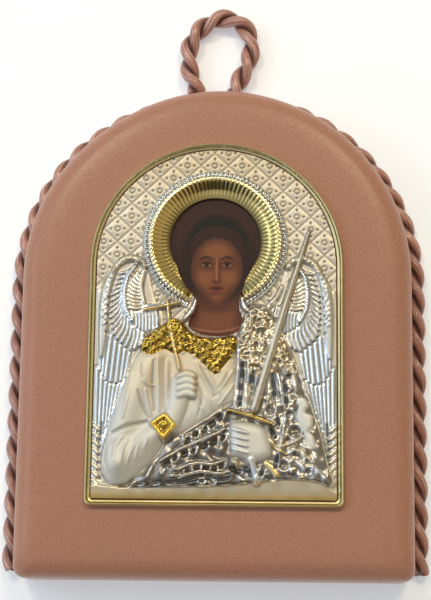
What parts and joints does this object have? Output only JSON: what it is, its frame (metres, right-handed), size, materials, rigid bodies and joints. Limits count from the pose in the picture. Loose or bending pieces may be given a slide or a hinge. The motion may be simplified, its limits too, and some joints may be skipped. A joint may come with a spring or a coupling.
{
  "type": "icon panel",
  "caption": "Small arch-topped icon panel: leather covered board, gilt framed silver relief of a winged half figure with a painted head, twisted edge cord and a hanging loop.",
  "frame": {"origin": "middle of the panel's back face, as it lies; the edge cord counts, the hanging loop doesn't", "axes": "+Z out of the front, +Y up the picture towards the loop, +X to the right of the picture"},
  "size_m": [0.1102, 0.1555, 0.0264],
  "materials": {
    "leather": "matte salmon brown leather",
    "gilt": "polished gilt metal",
    "paint": "painted card with a satin varnish",
    "silver": "stamped silver, polished and satin areas, gilt details",
    "cord": "twisted satin cord"
  },
  "bodies": {
    "root": {"leather_panel": "leather", "gilt_frame": "gilt", "painted_panel": "paint", "silver_plate": "silver", "edge_cord": "cord", "hanging_loop": "cord"}
  },
  "joints": []
}
